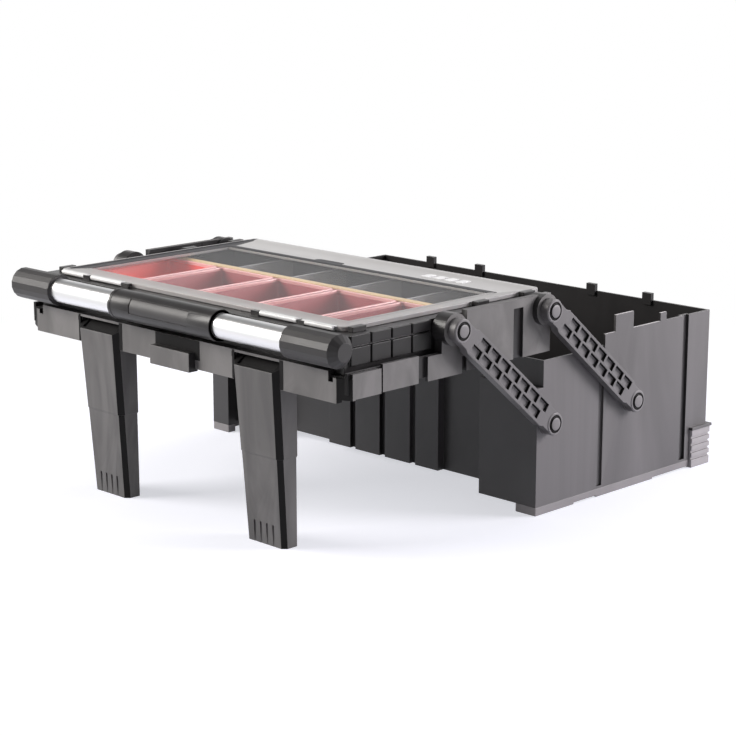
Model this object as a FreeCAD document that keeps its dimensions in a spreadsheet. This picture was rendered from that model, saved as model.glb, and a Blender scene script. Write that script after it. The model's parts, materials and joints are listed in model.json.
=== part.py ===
import FreeCAD, Part
import math
import os

import Sketcher

# Cantilever tool box, shown open as in use: the tub stands on the floor and the organiser
# tray has swung forward on four parallel arms until its two front legs stand on the floor.
# Axes: +X to the right, +Y to the back, +Z up. The floor is Z = 0.

# Driving dimensions in millimetres, with angles in degrees and counts as plain numbers.
SIZES = {
    # Tub
    "tub_width": 560,
    "tub_depth": 325,
    "tub_height": 195,
    "tub_wall": 3,
    "foot_height": 10,
    "low_rim_height": 181,
    "low_rim_depth": 120,
    "recess_half": 193,
    "recess_depth": 45,
    "leg_room": 5,
    "panel_out": 10,
    "channel_pitch": 52,
    "channel_width": 9,
    "channel_depth": 6,
    "corner_post_width": 30,
    "post_setback": 20,
    "upper_setback": 10,
    "upper_setback_height": 150,
    "corner_groove_place": 271.5,
    "corner_groove_width": 10.5,
    "corner_groove_depth": 4,
    "middle_groove_place": 110.5,
    "middle_groove_width": 9,
    "middle_groove_depth": 3,
    "large_tab_place": 139,
    "large_tab_width": 34,
    "large_tab_height": 20,
    "small_tab_place": 225,
    "small_tab_width": 12,
    "small_tab_height": 10,
    "hook_inner_place": 97,
    "hook_outer_place": 187,
    "hook_width": 14,
    "hook_depth": 6,
    "hook_height": 9,
    # Feet and corner guards
    "rail_width": 12,
    "rail_step": 2,
    "rail_step_first": 69,
    "rail_step_second": 219,
    "guard_place": 292,
    "guard_height": 48,
    "guard_out": 4,
    "guard_groove_depth": 1.5,
    "guard_groove_height": 3,
    "guard_groove_pitch": 9,
    "guard_lip_height": 3.5,
    "guard_lip_out": 1.5,
    # Cantilever arms and their pivots
    "pivot_place": 17.2,
    "pivot_height": 108.5,
    "pivot_spacing": 151.8,
    "arm_length": 203.3,
    "arm_angle": 140,
    "arm_thickness": 10.7,
    "arm_end_radius": 13.5,
    "arm_half_width": 15,
    "arm_shoulder": 22,
    "arm_shoulder_chamfer": 5,
    "cell_count": 7,
    "cell_pitch": 21.5,
    "cell_length": 17.5,
    "cell_width": 10,
    "cell_web": 3,
    "cell_depth": 4,
    "cell_shift": 8,
    "pin_radius": 5,
    "pin_head_radius": 8.2,
    "pin_head_height": 1.8,
    "boss_radius": 14,
    "boss_depth": 13,
    "pin_depth": 11,
    "tray_boss_radius": 18,
    "running_gap": 0.05,
    "open_pivot_gap": 0.6,
    "snug_gap": 0.1,
    "side_gap": 0.3,
    # Carrier tray, measured from its front plane and from the underside of its deck
    "pivot_to_front": 155.5,
    "deck_drop": 33.2,
    "tray_gap": 3,
    "tray_length": 321,
    "deck_thickness": 3,
    "skirt_drop": 25,
    "skirt_top": 8,
    "plate_thickness": 4,
    "rail_thickness": 4,
    "inner_plate_start": 34,
    "socket_half": 40.5,
    "socket_depth": 36,
    "outer_plate_end": 246,
    "end_knob_end": 258,
    "end_knob_drop": 3,
    "corner_facet_top": 2,
    "side_plate_drop": 19,
    "first_plate_start": 8,
    "first_plate_length": 42,
    "second_plate_start": 52,
    "second_plate_length": 54,
    "third_plate_start": 120,
    "third_plate_length": 54,
    "side_wall_start": 181,
    "side_wall_thickness": 8,
    "side_wall_top": 50,
    "side_groove_start": 258,
    "side_groove_width": 16,
    "side_groove_depth": 3,
    # Front catch block
    "catch_half": 34,
    "catch_out": 9,
    "catch_drop": 28,
    "catch_step": 6,
    # Organiser case and what lies in it
    "case_gap": 4,
    "case_front": 10,
    "case_rear_gap": 5,
    "case_height": 41,
    "case_wall": 2.5,
    "flange_width": 24,
    "flange_thickness": 2.5,
    "pad_columns": 4,
    "pad_first": 18,
    "pad_pitch": 30.5,
    "pad_length": 28,
    "pad_out": 3,
    "pad_split": 31,
    "pad_bottom": 12,
    "pad_gap": 2,
    "bin_count": 5,
    "bin_gap": 1.4,
    "bin_wall": 1.6,
    "bin_length": 178,
    "bin_front": 16,
    "bin_height": 35,
    "strip_thickness": 4,
    "strip_height": 35.5,
    "divider_count": 4,
    "divider_pitch": 96,
    "divider_thickness": 1.6,
    "divider_height": 33,
    # Lid
    "lid_inset": 19,
    "lid_overhang": 18,
    "lid_axis_place": 22,
    "lid_axis_height": 47.5,
    "lid_thickness": 5,
    "lid_gap": 0.5,
    "lid_border": 22,
    "lid_front_border": 32,
    "lid_rear_border": 65,
    "window_thickness": 2.5,
    "hinge_place": 148,
    "knuckle_half": 29,
    "knuckle_radius": 3,
    "ear_width": 12,
    "ear_depth": 6,
    "trunnion_radius": 1.5,
    "clip_width": 8,
    "clip_length": 20,
    "clip_height": 6,
    "clip_front": 30,
    "clip_middle": 222,
    "clip_back": 300,
    # Front bar
    "bar_out": 8,
    "cap_radius": 18,
    "cap_start": 200,
    "cap_end": 279,
    "cap_dome": 20,
    "cap_chamfer": 8,
    "cap_facets": 16,
    "tube_radius": 14,
    "tube_wall": 1.5,
    "grip_half": 88,
    "grip_radius": 17.3,
    "inlay_half": 50,
    "inlay_thickness": 1.2,
    "inlay_sink": 0.6,
    "inlay_angle": 60,
    "inlay_rise": 45,
    "lug_height": 22,
    # Legs
    "leg_place": 136,
    "leg_width_top": 72,
    "leg_width_foot": 64,
    "leg_chamfer": 6,
    "leg_top": 7,
    "leg_front_top": 6,
    "leg_lean": 14,
    "leg_depth_top": 31,
    "leg_depth_foot": 21,
    "leg_wall": 3,
    "leg_seam": 102,
    "leg_seam_step": 1,
    "leg_groove_count": 4,
    "leg_groove_pitch": 10,
    "leg_groove_width": 3,
    "leg_groove_depth": 2,
    "leg_groove_height": 25,
}

doc = FreeCAD.newDocument("CantileverToolBox")
sheet = doc.addObject("Spreadsheet::Sheet", "Sizes")
for row, (alias, number) in enumerate(SIZES.items(), start=1):
    sheet.set("A" + str(row), alias)
    sheet.set("B" + str(row), str(number))
    sheet.setAlias("B" + str(row), alias)
doc.recompute()


class Size:
    """A length that carries its value and the sheet expression that it was worked out with."""

    def __init__(self, value, text):
        self.value = float(value)
        self.text = text

    def __add__(self, other):
        other = as_size(other)
        return Size(self.value + other.value, "(" + self.text + " + " + other.text + ")")

    def __sub__(self, other):
        other = as_size(other)
        return Size(self.value - other.value, "(" + self.text + " - " + other.text + ")")

    def __mul__(self, other):
        other = as_size(other)
        return Size(self.value * other.value, "(" + self.text + " * " + other.text + ")")

    def __truediv__(self, other):
        other = as_size(other)
        return Size(self.value / other.value, "(" + self.text + " / " + other.text + ")")

    def __neg__(self):
        return as_size(0) - self

    def __radd__(self, other):
        return as_size(other) + self

    def __rsub__(self, other):
        return as_size(other) - self

    def __rmul__(self, other):
        return as_size(other) * self


def as_size(number):
    """Give a plain number the form of a Size."""
    if isinstance(number, Size):
        return number
    return Size(number, "(" + repr(float(number)) + ")")


class SheetSizes:
    """The named cells of the sheet, each as a Size."""

    def __getattr__(self, alias):
        return Size(sheet.get(alias), "Sizes." + alias)


s = SheetSizes()
SIDES = {"left": -1, "right": 1}

# Places worked out from the driving dimensions, in the tub's own frame: Y = 0 is its front face
arm_turn = as_size(math.radians(s.arm_angle.value))
arm_reach = Size(math.cos(arm_turn.value), "cos(Sizes.arm_angle * 1 deg)") * s.arm_length
arm_rise = Size(math.sin(arm_turn.value), "sin(Sizes.arm_angle * 1 deg)") * s.arm_length
lower_pivots = {"front": s.pivot_place, "rear": s.pivot_place + s.pivot_spacing}
upper_height = s.pivot_height + arm_rise
tray_front = s.pivot_place + arm_reach - s.pivot_to_front
deck = upper_height - s.deck_drop
deck_top = deck + s.deck_thickness
half_width = s.tub_width / 2
arm_inner = half_width + 1 + s.side_gap
arm_outer = arm_inner + s.arm_thickness
bar_place = tray_front - s.bar_out
tray_half = half_width - s.tub_wall - s.tray_gap
case_half = tray_half - s.plate_thickness - s.rail_thickness - s.case_gap
lid_half = case_half - s.lid_inset
lid_back = tray_front + s.tray_length + s.lid_overhang
case_front = tray_front + s.case_front
case_back = tray_front + s.tray_length - s.case_rear_gap
case_top = deck_top + s.case_height

# The model frame has its origin under the middle of the whole object
object_front = bar_place - s.cap_radius
object_back = s.tub_depth + s.guard_out + s.guard_lip_out
origin_shift = (object_front + object_back) / -2


def place(thing, x, y, z):
    """Bind an object's position, given in the tub's frame, to the sheet."""
    thing.setExpression(".Placement.Base.x", as_size(x).text)
    thing.setExpression(".Placement.Base.y", as_size(y + origin_shift).text)
    thing.setExpression(".Placement.Base.z", as_size(z).text)


def box(name, x, y, z):
    """A block between the low and high ends of each span."""
    solid = doc.addObject("Part::Box", name)
    for side, (low, high) in zip(("Length", "Width", "Height"), (x, y, z)):
        solid.setExpression(side, as_size(high - low).text)
    place(solid, x[0], y[0], z[0])
    return solid


def rod(name, x, y, z, radius):
    """A cylinder along X between the ends of the span x."""
    solid = doc.addObject("Part::Cylinder", name)
    solid.setExpression("Radius", as_size(radius).text)
    solid.setExpression("Height", as_size(x[1] - x[0]).text)
    solid.Placement = FreeCAD.Placement(FreeCAD.Vector(), FreeCAD.Rotation(FreeCAD.Vector(0, 1, 0), 90))
    place(solid, x[0], y, z)
    return solid


def fuse(name, solids):
    """One solid from several that touch or overlap."""
    joined = doc.addObject("Part::MultiFuse", name)
    joined.Shapes = solids
    joined.Refine = True
    return joined


def cut(name, base, tools):
    """The base with every tool taken away."""
    tool = tools[0] if len(tools) == 1 else fuse(name + "_tools", tools)
    cutter = doc.addObject("Part::Cut", name)
    cutter.Base = base
    cutter.Tool = tool
    return cutter


def group(name, solids):
    """Several solids of one kind in one node."""
    compound = doc.addObject("Part::Compound", name)
    compound.Links = solids
    return compound


def on_side(side, low, high):
    """The span along X of something that both sides have, given for the right-hand side."""
    if side == "right":
        return (as_size(low), as_size(high))
    return (-as_size(high), -as_size(low))


def new_body(name):
    """A body in the tub's frame."""
    body = doc.addObject("PartDesign::Body", name)
    place(body, as_size(0), as_size(0), as_size(0))
    return body


def sketch_on(body, name, plane, offset):
    """An empty sketch parallel to one of the body's own origin planes."""
    sketch = body.newObject("Sketcher::SketchObject", name)
    support = [item for item in body.Origin.OriginFeatures if item.Role == plane + "_Plane"][0]
    sketch.AttachmentSupport = (support, [""])
    sketch.MapMode = "FlatFace"
    sketch.setExpression(".AttachmentOffset.Base.z", as_size(offset).text)
    return sketch


def pin_point(sketch, item, end, x, y):
    """Hold one end of a sketch element at a place that is bound to the sheet."""
    for kind, axis, value in (("DistanceX", -2, as_size(x)), ("DistanceY", -1, as_size(y))):
        if abs(value.value) < 1e-6:
            sketch.addConstraint(Sketcher.Constraint("PointOnObject", item, end, axis))
            continue
        number = sketch.addConstraint(Sketcher.Constraint(kind, -1, 1, item, end, value.value))
        sketch.setExpression("Constraints[" + str(number) + "]", value.text)


def polygon(sketch, corners):
    """A closed outline of straight lines."""
    corners = [(as_size(x), as_size(y)) for x, y in corners]
    points = [FreeCAD.Vector(x.value, y.value, 0) for x, y in corners]
    first = sketch.GeometryCount
    total = len(points)
    for i in range(total):
        sketch.addGeometry(Part.LineSegment(points[i], points[(i + 1) % total]))
    for i in range(total):
        following = first + (i + 1) % total
        sketch.addConstraint(Sketcher.Constraint("Coincident", first + i, 2, following, 1))
    for i, (x, y) in enumerate(corners):
        pin_point(sketch, first + i, 1, x, y)


def circle(sketch, x, y, radius):
    """A full circle."""
    radius = as_size(radius)
    centre = FreeCAD.Vector(as_size(x).value, as_size(y).value, 0)
    item = sketch.addGeometry(Part.Circle(centre, FreeCAD.Vector(0, 0, 1), radius.value))
    pin_point(sketch, item, 3, x, y)
    number = sketch.addConstraint(Sketcher.Constraint("Radius", item, radius.value))
    sketch.setExpression("Constraints[" + str(number) + "]", radius.text)


# Where the sketch of a pad or pocket lies for a span, because the XZ plane faces along -Y
PAD_START = {"XY": lambda low, high: low, "XZ": lambda low, high: -high, "YZ": lambda low, high: low}
POCKET_START = {"XY": lambda low, high: high, "XZ": lambda low, high: -low, "YZ": lambda low, high: high}


def pad(body, name, plane, draw, low, high):
    """Add what draw puts in a sketch, between two heights over the plane."""
    low, high = as_size(low), as_size(high)
    sketch = sketch_on(body, name + "_sketch", plane, PAD_START[plane](low, high))
    draw(sketch)
    feature = body.newObject("PartDesign::Pad", name)
    feature.Profile = sketch
    feature.setExpression("Length", (high - low).text)
    sketch.Visibility = False
    return feature


def pocket(body, name, plane, draw, low, high):
    """Take away what draw puts in a sketch, between two heights over the plane."""
    low, high = as_size(low), as_size(high)
    sketch = sketch_on(body, name + "_sketch", plane, POCKET_START[plane](low, high))
    draw(sketch)
    feature = body.newObject("PartDesign::Pocket", name)
    feature.Profile = sketch
    feature.setExpression("Length", (high - low).text)
    sketch.Visibility = False
    return feature


def rectangle(x, y):
    """A drawing function for a rectangle between two spans."""
    return lambda sketch: polygon(sketch, [(x[0], y[0]), (x[1], y[0]), (x[1], y[1]), (x[0], y[1])])


def outline(corners):
    """A drawing function for a closed outline."""
    return lambda sketch: polygon(sketch, corners)


def disc(x, y, radius):
    """A drawing function for a circle."""
    return lambda sketch: circle(sketch, x, y, radius)


def revolve(body, name, corners):
    """Turn an outline of distance along X and radius round the body's own X axis."""
    sketch = sketch_on(body, name + "_sketch", "XZ", as_size(0))
    polygon(sketch, corners)
    feature = body.newObject("PartDesign::Revolution", name)
    feature.Profile = sketch
    feature.ReferenceAxis = (sketch, ["H_Axis"])
    feature.Angle = 360
    sketch.Visibility = False
    return feature


NODES = {}


def keep(name, thing):
    """Name a finished piece, which becomes a file of its own."""
    thing.Label = name
    NODES[name] = thing


# Tub

def tub_plan(gap, front):
    """The tub's outline seen from above, moved inwards by gap, with its blocks' fronts at front."""
    side = half_width - gap
    post = half_width - s.corner_post_width
    back = s.recess_depth + gap
    panel_side = s.leg_place - s.leg_width_top / 2 - s.leg_room - gap
    panel_front = s.recess_depth - s.panel_out + gap
    block_front = front + gap
    channels = []
    for number in (-1, 0, 1):
        for edge, deep in ((-1, False), (-1, True), (1, True), (1, False)):
            x = s.channel_pitch * number + (s.channel_width / 2 + gap) * edge
            channels.append((x, panel_front + s.channel_depth if deep else panel_front))
    return [
        (-side, block_front), (-post - gap, block_front), (-post - gap, s.post_setback + gap),
        (-s.recess_half - gap, s.post_setback + gap), (-s.recess_half - gap, back),
        (-panel_side, back), (-panel_side, panel_front), *channels, (panel_side, panel_front),
        (panel_side, back), (s.recess_half + gap, back), (s.recess_half + gap, block_front),
        (side, block_front), (side, s.tub_depth - gap), (-side, s.tub_depth - gap),
    ]


def wall_groove(body, name, side, start, width, depth, top):
    """An upright groove in an end wall, with the wall carried round behind it."""
    backing = on_side(side, half_width - s.tub_wall - depth, half_width - s.tub_wall)
    behind = (start - s.tub_wall, start + width + s.tub_wall)
    floor_top = s.foot_height + s.tub_wall
    pad(body, name + "_backing", "XY", rectangle(backing, behind), floor_top, top)
    mouth = on_side(side, half_width - depth, half_width + 1)
    pocket(body, name, "XY", rectangle(mouth, (start, start + width)), floor_top, top)


def make_tub():
    body = new_body("TubBody")
    floor_top = s.foot_height + s.tub_wall
    ledge = s.upper_setback_height - s.tub_wall
    zero = as_size(0)
    pad(body, "tub_lower", "XY", outline(tub_plan(0, zero)), s.foot_height, s.upper_setback_height)
    upper = outline(tub_plan(0, s.upper_setback))
    pad(body, "tub_upper", "XY", upper, s.upper_setback_height, s.low_rim_height)
    high_part = rectangle((-half_width, half_width), (s.low_rim_depth, s.tub_depth))
    pad(body, "tub_high_rim", "XY", high_part, s.low_rim_height, s.tub_height)
    upper_inside = outline(tub_plan(s.tub_wall, s.upper_setback))
    pocket(body, "tub_inside_upper", "XY", upper_inside, ledge, s.tub_height)
    pocket(body, "tub_inside_lower", "XY", outline(tub_plan(s.tub_wall, zero)), floor_top, ledge)

    lip_front = s.guard_place - s.guard_lip_out
    lip_out = s.guard_out + s.guard_lip_out
    for side in SIDES:
        wall_groove(body, "corner_groove_" + side, side, s.corner_groove_place,
                    s.corner_groove_width, s.corner_groove_depth, s.tub_height)
        wall_groove(body, "middle_groove_" + side, side, s.middle_groove_place,
                    s.middle_groove_width, s.middle_groove_depth, s.low_rim_height)
        rim = on_side(side, half_width - s.tub_wall, half_width)
        tabs = (("large", s.large_tab_place, s.large_tab_width, s.large_tab_height),
                ("small", s.small_tab_place, s.small_tab_width, s.small_tab_height))
        for kind, start, width, height in tabs:
            shape = rectangle(rim, (start, start + width))
            pad(body, kind + "_tab_" + side, "XY", shape, s.tub_height - 5, s.tub_height + height)
        lip = on_side(side, half_width - s.corner_post_width, half_width + lip_out)
        ledge_shape = rectangle(lip, (lip_front, s.tub_depth + lip_out))
        lip_top = s.guard_height + s.guard_lip_height
        pad(body, "guard_lip_" + side, "XY", ledge_shape, s.guard_height, lip_top)
        inside = on_side(side, half_width - s.corner_post_width - 1, half_width - s.tub_wall)
        clear = rectangle(inside, (s.guard_place - s.guard_lip_out - 1, s.tub_depth - s.tub_wall))
        pocket(body, "guard_lip_clear_" + side, "XY", clear, s.guard_height - 1, lip_top + 1)
        for row, y in lower_pivots.items():
            boss = on_side(side, half_width + 1 - s.boss_depth, half_width + 1)
            pad(body, "pivot_boss_" + row + side, "YZ", disc(y, s.pivot_height, s.boss_radius), *boss)
            hole = on_side(side, half_width + 1 - s.pin_depth, half_width + 1)
            bore = disc(y, s.pivot_height, s.pin_radius + s.snug_gap)
            pocket(body, "pivot_hole_" + row + side, "YZ", bore, *hole)
        for kind, x in (("inner", s.hook_inner_place), ("outer", s.hook_outer_place)):
            span = on_side(side, x - s.hook_width / 2, x + s.hook_width / 2)
            hook = rectangle(span, (s.tub_depth - s.hook_depth, s.tub_depth))
            hook_span = (s.tub_height - s.hook_depth, s.tub_height + s.hook_height)
            pad(body, kind + "_hook_" + side, "XY", hook, *hook_span)
    return body


keep("base_tub", make_tub())


# Foot rails under the end walls, each with a return along the front

def make_foot_rail(side):
    body = new_body("FootRail" + side)
    sign = SIDES[side]
    post = half_width - s.corner_post_width
    rail_in = half_width - s.rail_width
    corners = [(post, 0), (half_width, 0), (half_width, s.guard_place), (rail_in, s.guard_place),
               (rail_in, s.rail_width), (post, s.rail_width)]
    shape = outline([(as_size(x) * sign, y) for x, y in corners])
    pad(body, "foot_rail_" + side, "XY", shape, 0, s.foot_height)
    steps = (("first", s.rail_step_first, s.middle_groove_place),
             ("second", s.rail_step_second, s.guard_place))
    for kind, start, end in steps:
        across = on_side(side, rail_in - 1, half_width + 1)
        pocket(body, kind + "_step_" + side, "XY", rectangle(across, (start, end)), 0, s.rail_step)
    return body


for side in SIDES:
    keep("foot_rail_" + side, make_foot_rail(side))


# Ribbed guards round the lower rear corners

def make_corner_guard(side):
    body = new_body("CornerGuard" + side)
    sign = SIDES[side]
    inner = half_width - s.corner_post_width
    out = half_width + s.guard_out
    back = s.tub_depth + s.guard_out

    def wrap(depth, start, end):
        """An outline of given depth round the outside of the corner."""
        corners = [(out - depth, start), (out, start), (out, back), (end, back), (end, back - depth),
                   (out - depth, back - depth)]
        return outline([(as_size(x) * sign, y) for x, y in corners])

    foot = rectangle(on_side(side, inner, out), (s.guard_place, back))
    pad(body, "guard_foot_" + side, "XY", foot, 0, s.foot_height)
    wall = wrap(s.guard_out, s.guard_place, inner)
    pad(body, "guard_wall_" + side, "XY", wall, s.foot_height, s.guard_height)
    for number in range(4):
        low = s.foot_height + s.guard_groove_pitch * number
        groove = wrap(s.guard_groove_depth, s.guard_place - 1, inner - 1)
        pocket(body, "guard_groove_" + str(number) + side, "XY", groove, low, low + s.guard_groove_height)
    return body


for side in SIDES:
    keep("corner_guard_" + side, make_corner_guard(side))


# Pivot pins, headed outside the arm and seated in a blind hole

def make_pins(name, pivots, height):
    pins = []
    for side, sign in SIDES.items():
        for row, y in pivots.items():
            body = doc.addObject("PartDesign::Body", name + row + side)
            place(body, as_size(0), y, height)
            seat = half_width + 1 - s.pin_depth
            head = arm_outer + s.side_gap
            top = head + s.pin_head_height
            corners = [(seat, 0), (seat, s.pin_radius), (head, s.pin_radius), (head, s.pin_head_radius),
                       (top, s.pin_head_radius), (top, 0)]
            revolve(body, name + "_turn_" + row + side, [(x * sign, radius) for x, radius in corners])
            pins.append(body)
    return group(name, pins)


keep("lower_pivot_pins", make_pins("LowerPins", lower_pivots, s.pivot_height))
upper_pivots = {row: y + arm_reach for row, y in lower_pivots.items()}
keep("upper_pivot_pins", make_pins("UpperPins", upper_pivots, upper_height))


# Cantilever arms, drawn flat from the lower pivot towards the upper one

def make_arm(row, side):
    label = row + side
    body = doc.addObject("PartDesign::Body", "Arm" + label)
    turned = FreeCAD.Rotation(FreeCAD.Vector(1, 0, 0), s.arm_angle.value)
    upright = FreeCAD.Rotation(FreeCAD.Vector(1, 1, 1), 120)
    over = FreeCAD.Rotation(FreeCAD.Vector(1, 0, 0), 0 if side == "right" else 180)
    body.Placement = FreeCAD.Placement(FreeCAD.Vector(), turned.multiply(upright).multiply(over))
    place(body, arm_inner * SIDES[side], lower_pivots[row], s.pivot_height)

    thick = s.arm_thickness
    for name, x in (("lower", as_size(0)), ("upper", s.arm_length)):
        pad(body, name + "_end_" + label, "XY", disc(x, 0, s.arm_end_radius), 0, thick)
    neck = s.arm_end_radius - 1
    start = s.arm_shoulder - s.arm_shoulder_chamfer
    stop = s.arm_length - start
    wide = s.arm_half_width
    blade = outline([
        (0, -neck), (start, -neck), (s.arm_shoulder, -wide), (s.arm_length - s.arm_shoulder, -wide),
        (stop, -neck), (s.arm_length, -neck), (s.arm_length, neck), (stop, neck),
        (s.arm_length - s.arm_shoulder, wide), (s.arm_shoulder, wide), (start, neck), (0, neck),
    ])
    pad(body, "blade_" + label, "XY", blade, 0, thick)

    gaps = {"lower": s.running_gap, "upper": s.open_pivot_gap}
    if label == "frontright":
        gaps["upper"] = s.running_gap
    for name, x in (("lower", as_size(0)), ("upper", s.arm_length)):
        pocket(body, name + "_bore_" + label, "XY", disc(x, 0, s.pin_radius + gaps[name]), 0, thick)

    run = s.cell_pitch * (s.cell_count - 1)
    first = (s.arm_length - run - s.cell_length - s.cell_shift) / 2
    near = s.cell_web / 2
    far = near + s.cell_width

    def cell_pair(sketch):
        """The first cell of each row; the upper row is shifted towards the tray."""
        for begin, across in ((first, (-far, -near)), (first + s.cell_shift, (near, far))):
            rectangle((begin, begin + s.cell_length), across)(sketch)

    hollow = pocket(body, "cells_" + label, "XY", cell_pair, thick - s.cell_depth, thick)
    cells = body.newObject("PartDesign::LinearPattern", "cell_rows_" + label)
    cells.Originals = [hollow]
    cells.Direction = (hollow.Profile[0], ["H_Axis"])
    cells.setExpression("Length", run.text)
    cells.Occurrences = int(s.cell_count.value)
    body.Tip = cells
    return body


for row in lower_pivots:
    for side in SIDES:
        keep("arm_" + row + "_" + side, make_arm(row, side))


# Carrier tray: a deck with a skirt of set-off plates, two leg sockets and four pivot bosses

def tray_y(low, high):
    """A span along Y, measured back from the tray's front plane."""
    return (tray_front + low, tray_front + high)


def corner_facet(side):
    """The slanted piece between the front plates and the side plates."""
    body = new_body("CornerFacet" + side)
    sign = SIDES[side]
    start = s.end_knob_end - s.leg_room
    inner = tray_half - s.plate_thickness - s.rail_thickness
    rail_back = tray_front + s.plate_thickness + s.rail_thickness
    plate_front = tray_front + s.first_plate_start
    corners = [(start, tray_front), (s.end_knob_end, tray_front), (tray_half, plate_front),
               (tray_half, plate_front + s.rail_thickness), (inner, plate_front + s.rail_thickness),
               (start, rail_back)]
    shape = outline([(as_size(x) * sign, y) for x, y in corners])
    pad(body, "facet_" + side, "XY", shape, deck - s.side_plate_drop - 2, deck + s.corner_facet_top)
    return body


def make_tray():
    solids = []
    half = tray_half
    frame_half = half - s.plate_thickness
    rail_in = frame_half - s.rail_thickness
    front = s.plate_thickness
    rail_back = front + s.rail_thickness
    skirt = (deck - s.skirt_drop, deck + s.skirt_top)
    side_low = deck - s.side_plate_drop

    solids.append(box("deck_plate", (-rail_in, rail_in), tray_y(front, s.tray_length), (deck, deck_top)))
    solids.append(box("rear_wall", (-rail_in, rail_in), tray_y(s.tray_length - 3, s.tray_length),
                      (deck, case_top - 1)))
    socket_roof = deck + s.skirt_top - s.deck_thickness
    for side in SIDES:
        centre = s.leg_place
        spans = (("inner", s.inner_plate_start, centre - s.socket_half),
                 ("outer", centre + s.socket_half, s.outer_plate_end))
        for kind, low, high in spans:
            span = on_side(side, low, high)
            solids.append(box(kind + "_plate_" + side, span, tray_y(0, front), skirt))
            back = on_side(side, low, high)
            solids.append(box(kind + "_rail_" + side, back, tray_y(front, rail_back),
                              (deck - s.side_plate_drop, deck + s.skirt_top)))
        knob = on_side(side, s.outer_plate_end, s.end_knob_end)
        solids.append(box("end_knob_" + side, knob, tray_y(0, rail_back), (skirt[0], deck - s.end_knob_drop)))
        solids.append(corner_facet(side))

        leg_half = s.leg_width_top / 2
        cheeks = (("inner", centre - s.socket_half, centre - s.socket_half + 3, centre - leg_half),
                  ("outer", centre + s.socket_half, centre + s.socket_half - 3, centre + leg_half))
        for kind, edge, thin, seat in cheeks:
            for part, inner, start in (("cheek", thin, 0), ("seat", seat, s.socket_depth / 2)):
                ends = sorted((edge, inner), key=lambda item: item.value)
                solids.append(box(kind + "_" + part + "_" + side, on_side(side, *ends),
                                  tray_y(start, s.socket_depth), (deck - s.skirt_drop, deck)))
        across = on_side(side, centre - s.socket_half, centre + s.socket_half)
        solids.append(box("socket_back_" + side, across, tray_y(s.socket_depth - 3, s.socket_depth),
                          (deck - s.skirt_drop, deck)))
        solids.append(box("socket_roof_" + side, across, tray_y(0, 10), (socket_roof, deck + s.skirt_top)))

        rail = on_side(side, rail_in, frame_half)
        solids.append(box("side_rail_" + side, rail, tray_y(rail_back - 4, s.side_wall_start),
                          (side_low + 4, deck + s.skirt_top)))
        plate = on_side(side, frame_half, half)
        plates = (("first", s.first_plate_start, s.first_plate_length, 1, -1),
                  ("second", s.second_plate_start, s.second_plate_length, 0, 3),
                  ("third", s.third_plate_start, s.third_plate_length, 0, 0))
        for kind, start, length, lower, raised in plates:
            solids.append(box(kind + "_side_plate_" + side, plate, tray_y(start, start + length),
                              (side_low - lower, deck + s.skirt_top + raised)))
        wall = on_side(side, half - s.side_wall_thickness, half)
        wall_top = deck + s.side_wall_top
        solids.append(box("side_wall_" + side, wall, tray_y(s.side_wall_start, s.tray_length),
                          (side_low + 2, wall_top)))
        for row, y in upper_pivots.items():
            boss = on_side(side, case_half + 1, half_width + 1)
            solids.append(rod("tray_boss_" + row + side, boss, y, upper_height, s.tray_boss_radius))
        front_block = on_side(side, case_half + 1, half)
        block = tray_y(s.pivot_to_front - s.tray_boss_radius + s.plate_thickness, s.side_wall_start)
        solids.append(box("boss_block_" + side, front_block, block, (deck, upper_height)))

    tools = []
    for side in SIDES:
        for row, y in upper_pivots.items():
            hole = on_side(side, half_width + 1 - s.pin_depth, half_width + 2)
            tools.append(rod("tray_hole_" + row + side, hole, y, upper_height, s.pin_radius + s.snug_gap))
        mouth = on_side(side, half - s.side_groove_depth, half + 1)
        groove = tray_y(s.side_groove_start, s.side_groove_start + s.side_groove_width)
        tools.append(box("side_groove_" + side, mouth, groove, (deck - s.skirt_drop, case_top - 4)))
        hollows = (("front", s.socket_half - 3, (-1, s.socket_depth / 2)),
                   ("rear", s.leg_width_top / 2, (-1, s.socket_depth - 3)))
        for kind, reach, depth in hollows:
            hollow = on_side(side, s.leg_place - reach, s.leg_place + reach)
            tools.append(box(kind + "_socket_hollow_" + side, hollow, tray_y(*depth),
                             (deck - s.skirt_drop - 1, socket_roof)))
    return cut("CarrierTray", fuse("tray_solids", solids), tools)


keep("carrier_tray", make_tray())


# Catch block in the middle of the tray's front

def make_catch():
    half = s.catch_half
    low = deck - s.catch_drop
    step = deck - s.catch_step
    lower = box("catch_lower", (-half, half), tray_y(-s.catch_out, s.plate_thickness), (low, step))
    upper = box("catch_upper", (-half, half), tray_y(0, s.plate_thickness), (step, deck + s.skirt_top))
    inside = (-half + 3, half - 3)
    hollow = box("catch_hollow", inside, tray_y(-s.catch_out + 3, s.plate_thickness + 1), (low - 1, step - 3))
    return cut("FrontCatch", fuse("catch_solids", [lower, upper]), [hollow])


keep("front_catch", make_catch())


# Organiser case: an open box with a top flange and raised pads on its sides

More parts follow.
